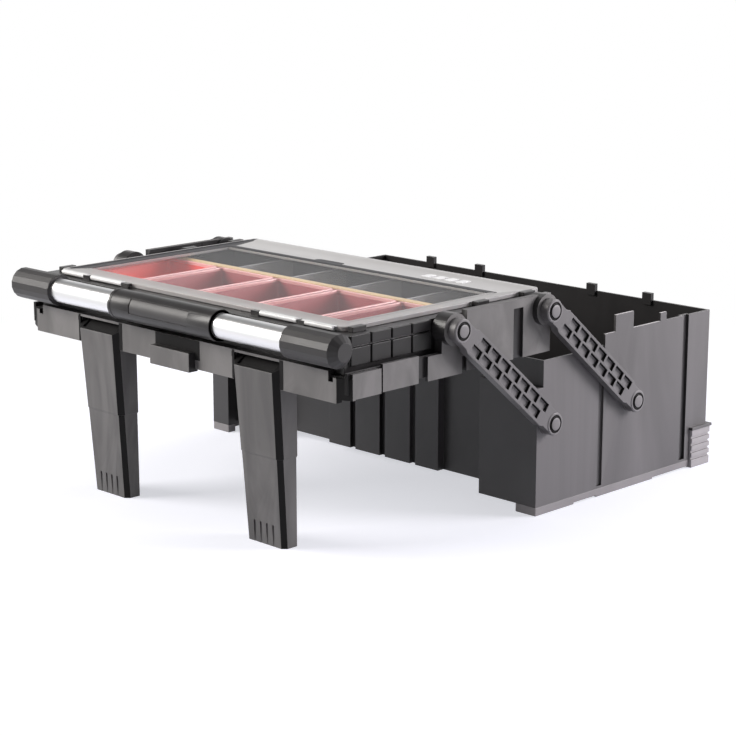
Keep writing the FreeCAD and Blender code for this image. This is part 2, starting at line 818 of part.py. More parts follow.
def make_case():
    body = new_body("CaseBody")
    wall_x = case_half - s.pad_out
    outer = (-wall_x, wall_x)
    pad(body, "case_block", "XY", rectangle(outer, (case_front, case_back)), deck_top, case_top)
    inner = (-wall_x + s.case_wall, wall_x - s.case_wall)
    inside = rectangle(inner, (case_front + s.case_wall, case_back - s.case_wall))
    pocket(body, "case_inside", "XY", inside, deck_top + s.case_wall, case_top - s.flange_thickness)
    mouth_x = wall_x - s.flange_width
    mouth = rectangle((-mouth_x, mouth_x), (case_front + s.flange_width, case_back - s.case_wall))
    pocket(body, "case_mouth", "XY", mouth, deck_top + s.case_wall, case_top)
    rows = ((deck + s.pad_bottom, deck + s.pad_split), (deck + s.pad_split + s.pad_gap, case_top))
    for side in SIDES:
        span = on_side(side, wall_x, case_half)
        for column in range(int(s.pad_columns.value)):
            start = tray_front + s.pad_first + s.pad_pitch * column
            for number, (low, high) in enumerate(rows):
                name = "pad_" + side + str(column) + str(number)
                pad(body, name, "XY", rectangle(span, (start, start + s.pad_length)), low, high)
    return body


keep("organiser_case", make_case())


# Removable red bins in a row along the front of the case

bins_front = case_front + s.bin_front
case_floor = deck_top + s.case_wall
case_inner_half = case_half - s.pad_out - s.case_wall
bin_pitch = case_inner_half * 2 / s.bin_count


def make_bin(number):
    body = new_body("Bin" + str(number))
    middle = bin_pitch * (number - (s.bin_count.value + 1) / 2)
    half = (bin_pitch - s.bin_gap) / 2
    x = (middle - half, middle + half)
    y = (bins_front, bins_front + s.bin_length)
    pad(body, "bin_block_" + str(number), "XY", rectangle(x, y), case_floor, case_floor + s.bin_height)
    inner_x = (x[0] + s.bin_wall, x[1] - s.bin_wall)
    inner_y = (y[0] + s.bin_wall, y[1] - s.bin_wall)
    pocket(body, "bin_inside_" + str(number), "XY", rectangle(inner_x, inner_y), case_floor + s.bin_wall,
           case_floor + s.bin_height)
    return body


for number in range(1, int(s.bin_count.value) + 1):
    keep("red_bin_" + str(number), make_bin(number))


# Lengthwise divider strip and the clear dividers behind it

strip_front = bins_front + s.bin_length + s.bin_gap
strip_back = strip_front + s.strip_thickness


def make_dividers():
    plates = []
    for number in range(int(s.divider_count.value)):
        middle = s.divider_pitch * (number - (s.divider_count.value - 1) / 2)
        x = (middle - s.divider_thickness / 2, middle + s.divider_thickness / 2)
        plates.append(box("divider_" + str(number), x, (strip_back, case_back - s.case_wall),
                          (case_floor, case_floor + s.divider_height)))
    return group("ClearDividers", plates)


keep("divider_strip", box("DividerStrip", (-case_inner_half, case_inner_half), (strip_front, strip_back),
                          (case_floor, case_floor + s.strip_height)))
keep("clear_dividers", make_dividers())


# Lid hinge: ears on the case with a moulded trunnion between each pair, inside the lid's knuckle

lid_axis_y = tray_front + s.lid_axis_place
lid_axis_z = deck + s.lid_axis_height
lid_low = case_top + s.lid_gap
lid_high = lid_low + s.lid_thickness


def make_ears():
    pairs = []
    for side in SIDES:
        near = s.hinge_place - s.knuckle_half - 1
        far = s.hinge_place + s.knuckle_half + 1
        between = on_side(side, near, far)
        solids = [rod("trunnion_" + side, between, lid_axis_y, lid_axis_z, s.trunnion_radius)]
        depth = (lid_axis_y - s.ear_depth / 2, lid_axis_y + s.ear_depth / 2)
        height = (case_top, lid_axis_z + s.ear_depth * 0.3)
        for kind, low, high in (("inner", near - s.ear_width, near), ("outer", far, far + s.ear_width)):
            solids.append(box(kind + "_ear_" + side, on_side(side, low, high), depth, height))
        pairs.append(fuse("ear_pair_" + side, solids))
    return group("HingeEars", pairs)


keep("lid_hinge_ears", make_ears())


def make_lid_frame():
    front = lid_axis_y + s.knuckle_radius + 1
    back = lid_back
    plate = box("lid_plate", (-lid_half, lid_half), (front, back), (lid_low, lid_high))
    solids = [plate]
    bores = []
    for side in SIDES:
        x = on_side(side, s.hinge_place - s.knuckle_half, s.hinge_place + s.knuckle_half)
        solids.append(rod("knuckle_" + side, x, lid_axis_y, lid_axis_z, s.knuckle_radius))
        solids.append(box("knuckle_web_" + side, x, (lid_axis_y, front + 1), (lid_low + 1, lid_high)))
        longer = (x[0] - 1, x[1] + 1)
        bore = s.trunnion_radius + s.running_gap
        bores.append(rod("knuckle_bore_" + side, longer, lid_axis_y, lid_axis_z, bore))
    window = box("window_hole", *window_spans(), (lid_low - 1, lid_high + 1))
    return cut("LidFrame", fuse("lid_frame_solids", solids), bores + [window])


def window_spans():
    """The clear window's size along X and Y."""
    half = lid_half - s.lid_border
    return (-half, half), (lid_axis_y + s.lid_front_border, lid_back - s.lid_rear_border)


def make_window():
    x, y = window_spans()
    low = lid_low + (s.lid_thickness - s.window_thickness) / 2
    return box("LidWindow", x, y, (low, low + s.window_thickness))


keep("lid_frame", make_lid_frame())
keep("lid_window", make_window())


def make_clips():
    clips = []
    for side in SIDES:
        x = on_side(side, lid_half + 1, lid_half + 1 + s.clip_width)
        for kind, start in (("front", s.clip_front), ("middle", s.clip_middle), ("back", s.clip_back)):
            y = (tray_front + start, tray_front + start + s.clip_length)
            clips.append(box(kind + "_clip_" + side, x, y, (case_top, case_top + s.clip_height)))
    return group("SideClips", clips)


keep("lid_side_clips", make_clips())


# Front bar: one bright tube through a middle grip, with a faceted cap over each end

tube_bore = s.tube_radius + s.snug_gap
tube_end = s.cap_end - s.cap_dome
lug_span = (upper_height - s.lug_height / 2, upper_height + s.lug_height / 2 - 2)


def bar_body(name):
    body = doc.addObject("PartDesign::Body", name)
    place(body, as_size(0), bar_place, upper_height)
    return body


def facet_ring(sketch, radius):
    """A regular outline with flats at its front and top, as far out as the radius."""
    count = int(s.cap_facets.value)
    corner_reach = radius / math.cos(math.pi / count)
    corners = []
    for number in range(count):
        turn = math.radians(360 / count * (number + 0.5))
        corners.append((corner_reach * math.cos(turn), corner_reach * math.sin(turn)))
    polygon(sketch, corners)


def make_cap(side):
    """A sixteen-sided cap with its outer end bevelled all round."""
    sign = SIDES[side]
    body = bar_body("CapBody" + side)
    whole = on_side(side, s.cap_start, s.cap_end)
    block = pad(body, "cap_block_" + side, "YZ", lambda sketch: facet_ring(sketch, s.cap_radius), *whole)
    doc.recompute()
    faces = block.Shape.Faces
    end = max(range(len(faces)), key=lambda i: faces[i].CenterOfMass.x * sign)
    bevel = body.newObject("PartDesign::Chamfer", "cap_bevel_" + side)
    bevel.Base = (block, ["Face" + str(end + 1)])
    bevel.setExpression("Size", "Sizes.cap_chamfer")
    socket = on_side(side, s.cap_start, tube_end)
    pocket(body, "cap_socket_" + side, "YZ", disc(0, 0, tube_bore), *socket)
    x = on_side(side, s.cap_start + 5, tube_end - 4)
    lug = box("cap_lug_" + side, x, (bar_place + s.tube_radius + 1, case_front), lug_span)
    return fuse("EndCap" + side, [body, lug])


for side in SIDES:
    keep("bar_end_cap_" + side, make_cap(side))


def tube_outline(low, high, outer, inner):
    return [(low, inner), (low, outer), (high, outer), (high, inner)]


tube = bar_body("BarTube")
revolve(tube, "tube_turn", tube_outline(-tube_end, tube_end, s.tube_radius, s.tube_radius - s.tube_wall))
keep("bar_tube", tube)


def arc_plate(name, half, outer, inner):
    """A curved plate on the upper front of the grip."""
    solids = []
    for kind, radius in (("outer", outer), ("inner", inner)):
        x = (-half, half) if kind == "outer" else (-half - 1, half + 1)
        drum = rod(name + "_" + kind, x, bar_place, upper_height, radius)
        if kind == "outer":
            drum.Angle = s.inlay_angle.value
            facing = FreeCAD.Rotation(FreeCAD.Vector(0, 1, 0), 90)
            start = FreeCAD.Rotation(FreeCAD.Vector(0, 0, 1), 270 - s.inlay_rise.value)
            drum.Placement = FreeCAD.Placement(FreeCAD.Vector(), facing.multiply(start))
            place(drum, x[0], bar_place, upper_height)
        solids.append(drum)
    return cut(name, solids[0], [solids[1]])


def make_grip():
    turned = bar_body("GripTurned")
    revolve(turned, "grip_turn", tube_outline(-s.grip_half, s.grip_half, s.grip_radius, tube_bore))
    lug_depth = (bar_place + s.tube_radius + 1, case_front)
    lug = box("grip_lug", (-s.grip_half / 2, s.grip_half / 2), lug_depth, lug_span)
    sink = s.grip_radius - s.inlay_sink - s.inlay_thickness
    seat = arc_plate("inlay_seat", s.inlay_half + s.side_gap, s.grip_radius + 1, sink)
    return cut("BarGrip", fuse("grip_solids", [turned, lug]), [seat])


keep("bar_grip", make_grip())
inlay_outer = s.grip_radius - s.inlay_sink
keep("grip_inlay", arc_plate("GripInlay", s.inlay_half, inlay_outer, inlay_outer - s.inlay_thickness))


# Legs: a sleeve hung in the tray's socket and a lower post under it

leg_top_z = deck_top - s.side_gap
leg_front_z = deck - s.leg_top


def leg_front_at(height):
    """How far back the leaning front face is at a height over the floor."""
    return tray_front - s.leg_front_top + s.leg_lean * (leg_front_z - height) / leg_front_z


def leg_back_at(height):
    """The rear face, which tapers towards the front one."""
    taper = (s.leg_depth_top - s.leg_depth_foot) * height / leg_front_z
    return leg_front_at(height) + s.leg_depth_foot + taper


def leg_half_at(height):
    """Half the leg's width, which tapers towards the foot."""
    return (s.leg_width_foot + (s.leg_width_top - s.leg_width_foot) * height / leg_front_z) / 2


def leg_block(body, side, profile, low, high, inset):
    """A leaning block with sides that taper downwards and bevelled front corners."""
    half = s.leg_width_top / 2 - inset
    x = on_side(side, s.leg_place - half, s.leg_place + half)
    block = pad(body, "leg_block_" + side, "YZ", outline(profile), *x)
    depth = (tray_front - s.socket_depth, tray_front + s.socket_depth)
    for kind, edge in (("inner", -1), ("outer", 1)):
        beyond = s.leg_place + (half + 1) * edge
        corners = [(s.leg_place + (leg_half_at(low) - inset) * edge, low), (beyond, low), (beyond, high),
                   (s.leg_place + (leg_half_at(high) - inset) * edge, high)]
        wedge = outline([(x * SIDES[side], z) for x, z in corners])
        block = pocket(body, kind + "_taper_" + side, "XZ", wedge, *depth)
    doc.recompute()
    uprights = []
    for number, edge in enumerate(block.Shape.Edges, start=1):
        ends = [vertex.Point for vertex in edge.Vertexes]
        on_front = all(abs(point.y - leg_front_at(point.z).value - inset.value) < 0.01 for point in ends)
        if on_front and abs(ends[0].z - ends[-1].z) > 10:
            uprights.append("Edge" + str(number))
    bevel = body.newObject("PartDesign::Chamfer", "front_bevel_" + side)
    bevel.Base = (block, uprights)
    bevel.setExpression("Size", (s.leg_chamfer - inset).text)


def make_sleeve(side):
    body = new_body("LegSleeve" + side)
    seam = s.leg_seam
    shoulder = leg_front_at(leg_front_z) + s.leg_depth_top / 2
    profile = [(leg_front_at(seam), seam), (leg_front_at(leg_front_z), leg_front_z), (shoulder, leg_top_z),
               (leg_back_at(leg_top_z), leg_top_z), (leg_back_at(seam), seam)]
    leg_block(body, side, profile, seam, leg_front_z, as_size(0))
    base = seam + s.leg_wall * 2
    top = leg_top_z + 1
    hollow = [(leg_front_at(base) + s.leg_wall, base), (leg_front_at(leg_front_z) + s.leg_wall, leg_front_z),
              (leg_front_at(leg_front_z) + s.leg_wall, top), (leg_back_at(top) - s.leg_wall, top),
              (leg_back_at(base) - s.leg_wall, base)]
    half = leg_half_at(seam) - s.leg_wall * 2
    x = on_side(side, s.leg_place - half, s.leg_place + half)
    pocket(body, "sleeve_hollow_" + side, "YZ", outline(hollow), *x)
    return body


def make_post(side):
    body = new_body("LegPost" + side)
    step = s.leg_seam_step
    seam = s.leg_seam
    zero = as_size(0)
    profile = [(leg_front_at(zero) + step, zero), (leg_front_at(seam) + step, seam),
               (leg_back_at(seam) - step, seam), (leg_back_at(zero) - step, zero)]
    leg_block(body, side, profile, zero, seam, step)
    for number in range(int(s.leg_groove_count.value)):
        middle = s.leg_place + s.leg_groove_pitch * (number - (s.leg_groove_count.value - 1) / 2)
        span = on_side(side, middle - s.leg_groove_width / 2, middle + s.leg_groove_width / 2)
        deep = leg_front_at(s.leg_groove_height) + step + s.leg_groove_depth
        shape = rectangle(span, (leg_front_at(s.leg_groove_height) - 2, deep))
        pocket(body, "post_groove_" + str(number) + side, "XY", shape, 0, s.leg_groove_height)
    return body


for side in SIDES:
    keep("leg_sleeve_" + side, make_sleeve(side))
    keep("leg_post_" + side, make_post(side))


# Check everything and write one file for each piece

doc.recompute()
for thing in doc.Objects:
    if "Invalid" in thing.State or "Error" in thing.State:
        raise RuntimeError(thing.Name + " failed: " + str(thing.State))
os.makedirs("parts", exist_ok=True)
for name, thing in NODES.items():
    if thing.Shape.isNull() or not thing.Shape.isValid():
        raise RuntimeError(name + " has no valid shape")
for name, thing in NODES.items():
    thing.Shape.exportStep("parts/" + name + ".step")
    bounds = thing.Shape.BoundBox
    print(name, len(thing.Shape.Solids), "solids", round(thing.Shape.Volume / 1000, 1), "cm3",
          [round(value, 1) for value in (bounds.XMin, bounds.XMax, bounds.YMin, bounds.YMax,
                                         bounds.ZMin, bounds.ZMax)])
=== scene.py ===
import json
import math

import bmesh
import bpy
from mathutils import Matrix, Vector


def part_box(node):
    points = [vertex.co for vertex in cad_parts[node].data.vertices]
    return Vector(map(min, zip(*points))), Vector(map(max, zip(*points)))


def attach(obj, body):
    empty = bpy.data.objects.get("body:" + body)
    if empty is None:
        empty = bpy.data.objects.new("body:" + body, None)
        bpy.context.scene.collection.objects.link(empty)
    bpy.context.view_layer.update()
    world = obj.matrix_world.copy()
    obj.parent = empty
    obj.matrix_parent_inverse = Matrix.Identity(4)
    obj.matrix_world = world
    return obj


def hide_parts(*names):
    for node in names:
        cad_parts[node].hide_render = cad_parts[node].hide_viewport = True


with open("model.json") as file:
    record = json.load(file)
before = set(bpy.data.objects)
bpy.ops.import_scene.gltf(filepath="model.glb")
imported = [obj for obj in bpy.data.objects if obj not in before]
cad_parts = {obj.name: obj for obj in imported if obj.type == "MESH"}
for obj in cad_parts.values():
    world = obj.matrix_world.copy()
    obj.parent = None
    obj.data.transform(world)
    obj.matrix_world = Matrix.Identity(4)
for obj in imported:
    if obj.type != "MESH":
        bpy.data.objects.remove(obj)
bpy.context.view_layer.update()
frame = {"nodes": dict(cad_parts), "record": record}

# Lengths are in metres, so a length in millimetres is written as a number times MM.
MM = 0.001
SIDES = ("left", "right")
ROWS = ("front", "rear")
BODY_OF = {node: body for body, nodes in frame["record"]["behaviour"]["bodies"].items() for node in nodes}
SLOT_OF = {item["node"]: item["material_slot"] for item in frame["record"]["subparts"]}

SHARP_ANGLE = 32
CAP_ANGLE = 15
BEVEL_SEGMENTS = 2
CORNER_STEPS = 5

# How much of a face's normal lies along an axis: less than ALONG for a face that runs along the axis,
# more than TOWARDS for one that looks along it, and more than SQUARE for one that is square to it.
ALONG = 0.3
TOWARDS = 0.5
SQUARE = 0.9


# Materials, each made from nodes over object coordinates

def set_sockets(node, sockets):
    """Values for a node's own sockets, with _ for a space in a socket's name."""
    for socket, value in sockets.items():
        node.inputs[socket.replace("_", " ")].default_value = value


def add_node(nodes, kind, **sockets):
    """A new shader node with values on its own sockets."""
    node = nodes.new("ShaderNode" + kind)
    set_sockets(node, sockets)
    return node


def new_material(name, colour, roughness, **sockets):
    """A principled material, with more of its shader's sockets set by name."""
    material = bpy.data.materials.new(name)
    material.use_nodes = True
    shader = material.node_tree.nodes["Principled BSDF"]
    shader.inputs["Base Color"].default_value = (*colour, 1)
    shader.inputs["Roughness"].default_value = roughness
    set_sockets(shader, sockets)
    return material


def object_noise(material, scale, detail, distortion=0, stretch=(1, 1, 1)):
    """A noise texture over the object's own coordinates."""
    nodes, links = material.node_tree.nodes, material.node_tree.links
    place = add_node(nodes, "TexCoord")
    mapping = add_node(nodes, "Mapping", Scale=stretch)
    noise = add_node(nodes, "TexNoise", Scale=scale, Detail=detail, Distortion=distortion)
    links.new(place.outputs["Object"], mapping.inputs["Vector"])
    links.new(mapping.outputs["Vector"], noise.inputs["Vector"])
    return noise.outputs["Fac"]


def vary_colour(material, factor, dark, light):
    """Drive the base colour between two shades, over the middle of the noise's span."""
    nodes, links = material.node_tree.nodes, material.node_tree.links
    ramp = add_node(nodes, "ValToRGB")
    for element, position, colour in zip(ramp.color_ramp.elements, (0.35, 0.65), (dark, light)):
        element.position = position
        element.color = (*colour, 1)
    links.new(factor, ramp.inputs["Fac"])
    links.new(ramp.outputs["Color"], nodes["Principled BSDF"].inputs["Base Color"])


def vary_roughness(material, factor, low, high):
    """Drive the roughness between two values."""
    nodes, links = material.node_tree.nodes, material.node_tree.links
    spread = add_node(nodes, "MapRange", To_Min=low, To_Max=high)
    links.new(factor, spread.inputs["Value"])
    links.new(spread.outputs["Result"], nodes["Principled BSDF"].inputs["Roughness"])


def add_grain(material):
    """Raise a fine surface grain."""
    nodes, links = material.node_tree.nodes, material.node_tree.links
    bump = add_node(nodes, "Bump", Strength=0.12, Distance=0.4 * MM)
    links.new(object_noise(material, scale=1800, detail=2), bump.inputs["Height"])
    links.new(bump.outputs["Normal"], nodes["Principled BSDF"].inputs["Normal"])


def moulded_plastic(name, shade, tint=(1, 0.95, 0.98), roughness=0.42, flow=0.16, gloss=0.5, scale=5,
                    stretch=(1, 1, 0.6), distortion=2.2):
    """Moulded plastic with a fine grain; flow is the share by which its flow marks change its tone."""
    colour = [shade * part for part in tint]
    dark = [part * (1 - flow) for part in colour]
    light = [part * (1 + flow) for part in colour]
    material = new_material(name, colour, roughness, Specular_IOR_Level=gloss)
    flow_marks = object_noise(material, scale, detail=4, distortion=distortion, stretch=stretch)
    wear = object_noise(material, scale=14, detail=3, distortion=1)
    vary_colour(material, flow_marks, dark, light)
    vary_roughness(material, wear, roughness - 0.08, roughness + 0.1)
    add_grain(material)
    return material


def clear_plastic(name, colour, alpha, roughness, **sockets):
    """See-through plastic: what lies behind shows through a thin veil of its colour."""
    material = new_material(name, colour, roughness, Alpha=alpha, **sockets)
    vary_roughness(material, object_noise(material, scale=30, detail=2), roughness, roughness + 0.06)
    return material


def brushed_metal():
    """Tube metal with brush lines that run round it."""
    material = new_material("brushed_aluminium", (0.8, 0.8, 0.81), 0.3, Metallic=1.0)
    lines = object_noise(material, scale=420, detail=2, stretch=(1, 0.02, 0.02))
    vary_roughness(material, lines, low=0.27, high=0.36)
    return material


NEUTRAL_WARM = (1, 0.96, 0.95)
FRONT_WARM = (1, 0.95, 0.94)
COOL = (0.97, 0.98, 1)
UPRIGHT_STREAKS = (1, 1, 0.13)
LEG_STREAKS = (1, 1, 0.2)

CHARCOAL = moulded_plastic("charcoal_plastic", 0.11)
TUB_GREY = moulded_plastic("tub_plastic", 0.14, flow=0.2, scale=12, stretch=UPRIGHT_STREAKS, distortion=0.8)
# Painted shade: a darker copy of the tub plastic for the tub's front faces, which lie under the tray.
FRONT_SHADE = moulded_plastic("tub_front_painted_shade", 0.085, tint=FRONT_WARM, flow=0.2, scale=16,
                             stretch=UPRIGHT_STREAKS, distortion=1.2)
# Painted shade: a near-black copy of the tub plastic for the front recesses under the tray.
RECESS_SHADE = moulded_plastic("recess_painted_shade", 0.042, flow=0.1)
# Painted shade: a darker copy of the tub plastic for the grooves in the end walls.
END_GROOVE_SHADE = moulded_plastic("end_groove_painted_shade", 0.1, flow=0.1)
# Painted highlight: pale plastic for the top faces of the tub's end walls.
RIM_HIGHLIGHT = moulded_plastic("rim_painted_highlight", 0.5, roughness=0.35, flow=0.1)
ARM_GREY = moulded_plastic("arm_plastic", 0.16, flow=0.12)
# Painted light: a lighter copy of the arm plastic for pocket floors, hub rings and pin domes.
ARM_PAINTED_LIGHT = moulded_plastic("arm_painted_light", 0.21, flow=0.1)
CAP_BLACK = moulded_plastic("cap_plastic", 0.036, flow=0.1, gloss=0.35)
LEG_GREY = moulded_plastic("leg_plastic", 0.12, tint=NEUTRAL_WARM, flow=0.24, scale=18, stretch=LEG_STREAKS)
TRAY_GREY = moulded_plastic("tray_plastic", 0.165, tint=NEUTRAL_WARM, roughness=0.5, flow=0.26, scale=18,
                            distortion=0.8)
# Black plastic, which also serves as painted shade inside the tub and on the tray's hidden faces.
BLACK = moulded_plastic("black_plastic", 0.03, roughness=0.3, flow=0.1, gloss=0.3)
GREY = moulded_plastic("grey_plastic", 0.4, roughness=0.5, flow=0.08)
FOOT_GREY = moulded_plastic("foot_plastic", 0.3, roughness=0.5, flow=0.12)
DARK = moulded_plastic("shadow_plastic", 0.01, roughness=0.6, flow=0.1, gloss=0.15)
LINING = moulded_plastic("case_lining", 0.05, tint=COOL, roughness=0.45, flow=0.05)
SOFT = moulded_plastic("soft_grip", 0.045, roughness=0.45, flow=0.05, gloss=0.4)
YELLOW = moulded_plastic("yellow_plastic", 0.76, tint=(1, 0.72, 0.36), roughness=0.35, flow=0.06)
MILKY = clear_plastic("milky_plastic", (0.47, 0.46, 0.46), 0.78, 0.3)
MILKY_PALE = clear_plastic("milky_plastic_pale", (0.55, 0.54, 0.54), 0.85, 0.3)
# Painted shade: a dark copy of the milky plastic for the lid's border where it looks dark, and for the thumb
# recess.
SHADED_MILKY = clear_plastic("milky_plastic_shade", (0.06, 0.06, 0.065), 0.9, 0.45, Specular_IOR_Level=0.2)
# Painted highlight: pale milky plastic for the lid's front strips, the dividers' top edges and the rib
# blocks.
LIT = clear_plastic("milky_painted_highlight", (0.85, 0.85, 0.86), 0.95, 0.2)
CLEAR = clear_plastic("clear_plastic", (0.86, 0.87, 0.9), 0.08, 0.12, Specular_IOR_Level=0.1)
CLEAR_RIB = clear_plastic("clear_rib", (0.8, 0.8, 0.83), 0.3, 0.2)
RED = clear_plastic("red_plastic", (0.42, 0.07, 0.08), 0.97, 0.3)
# Painted shade: a darker copy of the red plastic for the flanges between the bins' lips.
RED_SHADE = clear_plastic("red_painted_shade", (0.3, 0.05, 0.055), 0.97, 0.4)
BRIGHT_RED = clear_plastic("red_plastic_bright", (0.95, 0.075, 0.05), 0.97, 0.3)
PINK = clear_plastic("red_plastic_rim", (0.92, 0.46, 0.45), 0.95, 0.25)
METAL = brushed_metal()

FINISH = {
    "charcoal_plastic": CHARCOAL,
    "black_plastic": BLACK,
    "grey_plastic": GREY,
    "soft_grip": SOFT,
    "yellow_plastic": YELLOW,
}


# Mesh helpers

def add_piece(name, mesh, body, material):
    """Put a mesh in the scene, on a CAD body, with its finish."""
    piece = bpy.data.objects.new(name, mesh)
    bpy.context.scene.collection.objects.link(piece)
    mesh.materials.clear()
    mesh.materials.append(material)
    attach(piece, body)
    return piece


def smooth(piece, angle=SHARP_ANGLE):
    """Shade a piece smooth except over edges sharper than the angle."""
    piece.data.set_sharp_from_angle(angle=math.radians(angle))
    for face in piece.data.polygons:
        face.use_smooth = True


def round_edges(piece, width, angle=SHARP_ANGLE):
    """Round every edge sharper than the angle, as a mould would."""
    smooth(piece, angle)
    bevel = piece.modifiers.new("rounded_edges", "BEVEL")
    bevel.width = width
    bevel.segments = BEVEL_SEGMENTS
    bevel.limit_method = "ANGLE"
    bevel.angle_limit = math.radians(angle)
    bevel.harden_normals = True


def accent(piece, material, test):
    """Give the faces whose centre, normal and size pass a test another finish."""
    piece.data.materials.append(material)
    index = len(piece.data.materials) - 1
    for face in piece.data.polygons:
        corners = [piece.data.vertices[i].co for i in face.vertices]
        spans = [[corner[axis] for corner in corners] for axis in range(3)]
        size = [max(span) - min(span) for span in spans]
        if test(face.center, face.normal, size):
            face.material_index = index


def finished_copy(node, width, material=None, angle=SHARP_ANGLE):
    """A CAD node's own shape with rounded edges, which stands for the node."""
    mesh = frame["nodes"][node].data.copy()
    bm = bmesh.new()
    bm.from_mesh(mesh)
    bmesh.ops.remove_doubles(bm, verts=bm.verts, dist=0.001 * MM)
    bmesh.ops.dissolve_limit(bm, angle_limit=math.radians(1), verts=bm.verts, edges=bm.edges)
    bm.to_mesh(mesh)
    bm.free()
    slot = SLOT_OF[node]
    piece = add_piece(node + "_finished", mesh, BODY_OF[node], material or FINISH[slot])
    round_edges(piece, width, angle)
    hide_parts(node)
    return piece


def mesh_from(name, points, faces):
    """A mesh from points and faces, with its normals outward."""
    mesh = bpy.data.meshes.new(name)
    mesh.from_pydata(points, [], faces)
    bm = bmesh.new()
    bm.from_mesh(mesh)
    bmesh.ops.remove_doubles(bm, verts=bm.verts, dist=0.0001 * MM)
    bmesh.ops.recalc_face_normals(bm, faces=bm.faces)
    bm.to_mesh(mesh)
    bm.free()
    return mesh


def block_mesh(name, low, high):
    """A block between two corners."""
    points = [(x, y, z) for x in (low[0], high[0]) for y in (low[1], high[1]) for z in (low[2], high[2])]
    faces = [(0, 1, 3, 2), (4, 6, 7, 5), (0, 4, 5, 1), (2, 3, 7, 6), (0, 2, 6, 4), (1, 5, 7, 3)]
    return mesh_from(name, points, faces)


def rounded_level(x, y, radius, z):
    """A rectangle between two spans, with rounded corners, at one height."""
    centres = ((x[1] - radius, y[1] - radius), (x[0] + radius, y[1] - radius),
               (x[0] + radius, y[0] + radius), (x[1] - radius, y[0] + radius))
    level = []
    for quarter, (cx, cy) in enumerate(centres):
        for i in range(CORNER_STEPS + 1):
            turn = math.pi / 2 * (quarter + i / CORNER_STEPS)
            level.append((cx + radius * math.cos(turn), cy + radius * math.sin(turn), z))
    return level


def loft_mesh(name, rings, close_loop=False):
    """A skin over rings with as many points each, with flat ends or closed into a loop."""
    count = len(rings[0])
    last = len(rings) - 1
    points = [point for ring in rings for point in ring]
    faces = []
    pairs = [(a, a + 1) for a in range(last)]
    if close_loop:
        pairs.append((last, 0))
    for a, b in pairs:
        for i in range(count):
            j = (i + 1) % count
            faces.append((a * count + i, a * count + j, b * count + j, b * count + i))
    if not close_loop:
        faces.append(tuple(range(count)))
        faces.append(tuple(range(last * count, len(points))))
    return mesh_from(name, points, faces)


def turned_mesh(name, profile, centre, steps, close_loop=False):
    """An outline of (x, radius) turned round an axis along X through a centre of (y, z)."""
    turns = [2 * math.pi * i / steps for i in range(steps)]
    rings = []
    for x, radius in profile:
        rings.append([(x, centre[0] + radius * math.cos(turn), centre[1] + radius * math.sin(turn))
                      for turn in turns])
    return loft_mesh(name, rings, close_loop)


def joined(name, meshes, body, material, width):
    """Several meshes as one piece with rounded edges."""
    bm = bmesh.new()
    for mesh in meshes:
        bm.from_mesh(mesh)
    whole = bpy.data.meshes.new(name)
    bm.to_mesh(whole)
    bm.free()
    piece = add_piece(name, whole, body, material)
    round_edges(piece, width)
    return piece


def joint_place(name):
    """Where a joint of the record is."""
    joints = frame["record"]["behaviour"]["joints"]
    return [joint for joint in joints if joint["name"] == name][0]["pos_m"]


# Tub, feet, guards, arms, legs and tray keep their CAD shapes, with moulded edges.
# The tests for accent take a face's centre, normal and size.

def is_diagonal(normal):
    """A face that cuts an upright corner."""
    least = 0.25
    return abs(normal.x) > least and abs(normal.y) > least


def make_tub():
    """The tub: painted shade inside, over its front, in its front recesses and in its end grooves, black
    along its rear rim, and a painted highlight along the top of its ends.
    """
    low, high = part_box("base_tub")
    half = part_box("foot_rail_right")[1][0]
    middle_y = (low[1] + high[1]) / 2
    floor_top = 20 * MM
    widest_groove = 12 * MM
    rim_depth = 9 * MM
    rim_height = 26 * MM
    stepped_end = 240 * MM
    end_wall = 8 * MM
    lowest_rim = 100 * MM
    tub = finished_copy("base_tub", 0.7 * MM, TUB_GREY)

    def inside(centre, normal, size):
        if abs(normal.z) > TOWARDS:
            return normal.z > 0 and centre.z < floor_top
        return normal.x * centre.x + normal.y * (centre.y - middle_y) < 0

    def groove(centre, normal, size):
        return abs(normal.x) > SQUARE and abs(centre.x) < half - 1 * MM and size[1] < widest_groove

    def rear_rim(centre, normal, size):
        return centre.y > high[1] - rim_depth and centre.z > high[2] - rim_height

    def front(centre, normal, size):
        return normal.y < -TOWARDS

    def recess(centre, normal, size):
        return front(centre, normal, size) and centre.x < stepped_end

    def end_rim(centre, normal, size):
        return normal.z > TOWARDS and abs(centre.x) > half - end_wall and centre.z > lowest_rim

    # Painted shade over the tub's front faces, under the tray.
    accent(tub, FRONT_SHADE, front)
    # Deeper painted shade on the front faces left of the right end block, in the recesses under the tray.
    accent(tub, RECESS_SHADE, recess)
    # Painted shade in the grooves of the end walls.
    accent(tub, END_GROOVE_SHADE, groove)
    # Painted shade on the tub's inner walls and floor; the rear rim is black.
    accent(tub, BLACK, lambda *face: inside(*face) or rear_rim(*face))
    # Painted highlight along the top faces of the end walls.
    accent(tub, RIM_HIGHLIGHT, end_rim)


def make_guard(side):
    """A corner guard with painted shade on the ledges between its ribs, and a darker top lip."""
    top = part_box("corner_guard_" + side)[1][2]
    guard = finished_copy("corner_guard_" + side, 0.5 * MM)
    lip = top - 3 * MM
    # Painted shade on the ledges between the ribs; the top lip is darker.
    accent(guard, CHARCOAL, lambda centre, normal, size: abs(normal.z) > ALONG or centre.z > lip)


